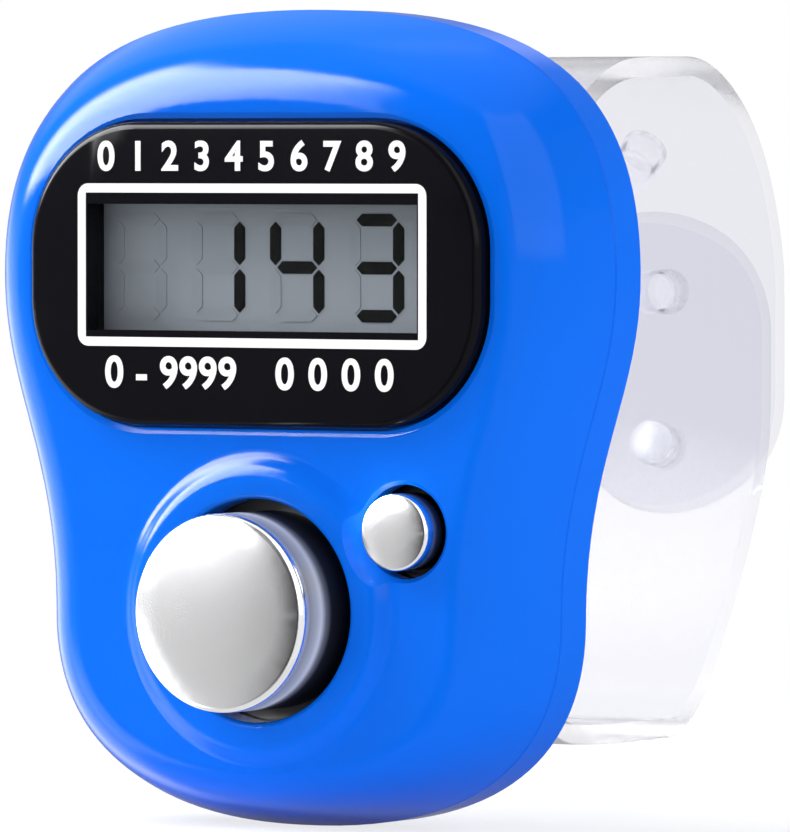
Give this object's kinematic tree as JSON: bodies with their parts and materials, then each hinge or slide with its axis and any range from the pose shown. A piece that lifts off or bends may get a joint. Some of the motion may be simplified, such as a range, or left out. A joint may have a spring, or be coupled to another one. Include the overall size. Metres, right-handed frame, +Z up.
{
  "type": "digital tasbih counter",
  "caption": "Finger-worn tally counter: pear-shaped gloss case with a raised display bezel, a large round count button, a small reset button and a soft strap that closes into a finger loop.",
  "frame": {"origin": "centre of the finger loop, on the counter's middle plane and midway between the back of the case and the inside of the strap", "axes": "+Z up the display, +Y from the face through the finger loop so that the face looks along -Y, and +X to the right for someone reading the display"},
  "size_m": [0.0348, 0.046, 0.0402],
  "materials": {
    "case_gloss": "polished blue moulding",
    "bezel_black": "polished black moulding",
    "white_print": "printed ink",
    "clear_pane": "clear polished pane",
    "lcd_glass": "clear glass with a polariser",
    "segment_dark": "dark liquid crystal segments",
    "segment_faint": "idle liquid crystal segments",
    "reflector_grey": "silvery grey sheet",
    "black_plastic": "moulded",
    "connector_rubber": "layered silicone",
    "board_green": "solder mask",
    "resin_black": "cast resin",
    "component_body": "fired ceramic",
    "button_chrome": "polished plating",
    "dome_rubber": "soft silicone",
    "carbon_pill": "carbon filled",
    "cell_steel": "plated steel can",
    "contact_steel": "plated spring steel",
    "screw_steel": "zinc plated",
    "strap_soft": "translucent soft moulding"
  },
  "bodies": {
    "case": {"front_shell": "case_gloss", "rear_cover": "case_gloss", "display_bezel": "bezel_black", "printed_frame": "white_print", "display_window": "clear_pane", "lcd_front_glass": "lcd_glass", "lcd_rear_glass": "lcd_glass", "lcd_lit_segments": "segment_dark", "lcd_idle_segments": "segment_faint", "lcd_reflector": "reflector_grey", "lcd_holder": "black_plastic", "elastomer_connectors": "connector_rubber", "circuit_board": "board_green", "chip_blob": "resin_black", "board_components": "component_body", "count_dome": "dome_rubber", "reset_dome": "dome_rubber", "coin_cell": "cell_steel", "negative_contact": "contact_steel", "positive_contact": "contact_steel", "case_screws": "screw_steel", "upper_strap": "strap_soft", "lower_strap": "strap_soft"},
    "count": {"count_button": "button_chrome", "count_pill": "carbon_pill"},
    "reset": {"reset_button": "button_chrome", "reset_pill": "carbon_pill"},
    "door": {"battery_door": "case_gloss"}
  },
  "joints": [
    {"name": "count_press", "type": "slide", "parent": "case", "child": "count", "axis": [0, 1, 0], "range_m": [0, 0.001], "stiffness_N_per_m": 1200, "deforming": ["count_dome"]},
    {"name": "reset_press", "type": "slide", "parent": "case", "child": "reset", "axis": [0, 1, 0], "range_m": [0, 0.0007], "stiffness_N_per_m": 1500, "deforming": ["reset_dome"]},
    {"name": "door_turn", "type": "hinge", "parent": "case", "child": "door", "pos_m": [0, -0.01395, -0.0015], "axis": [0, 1, 0], "range_deg": [0, 40]}
  ]
}
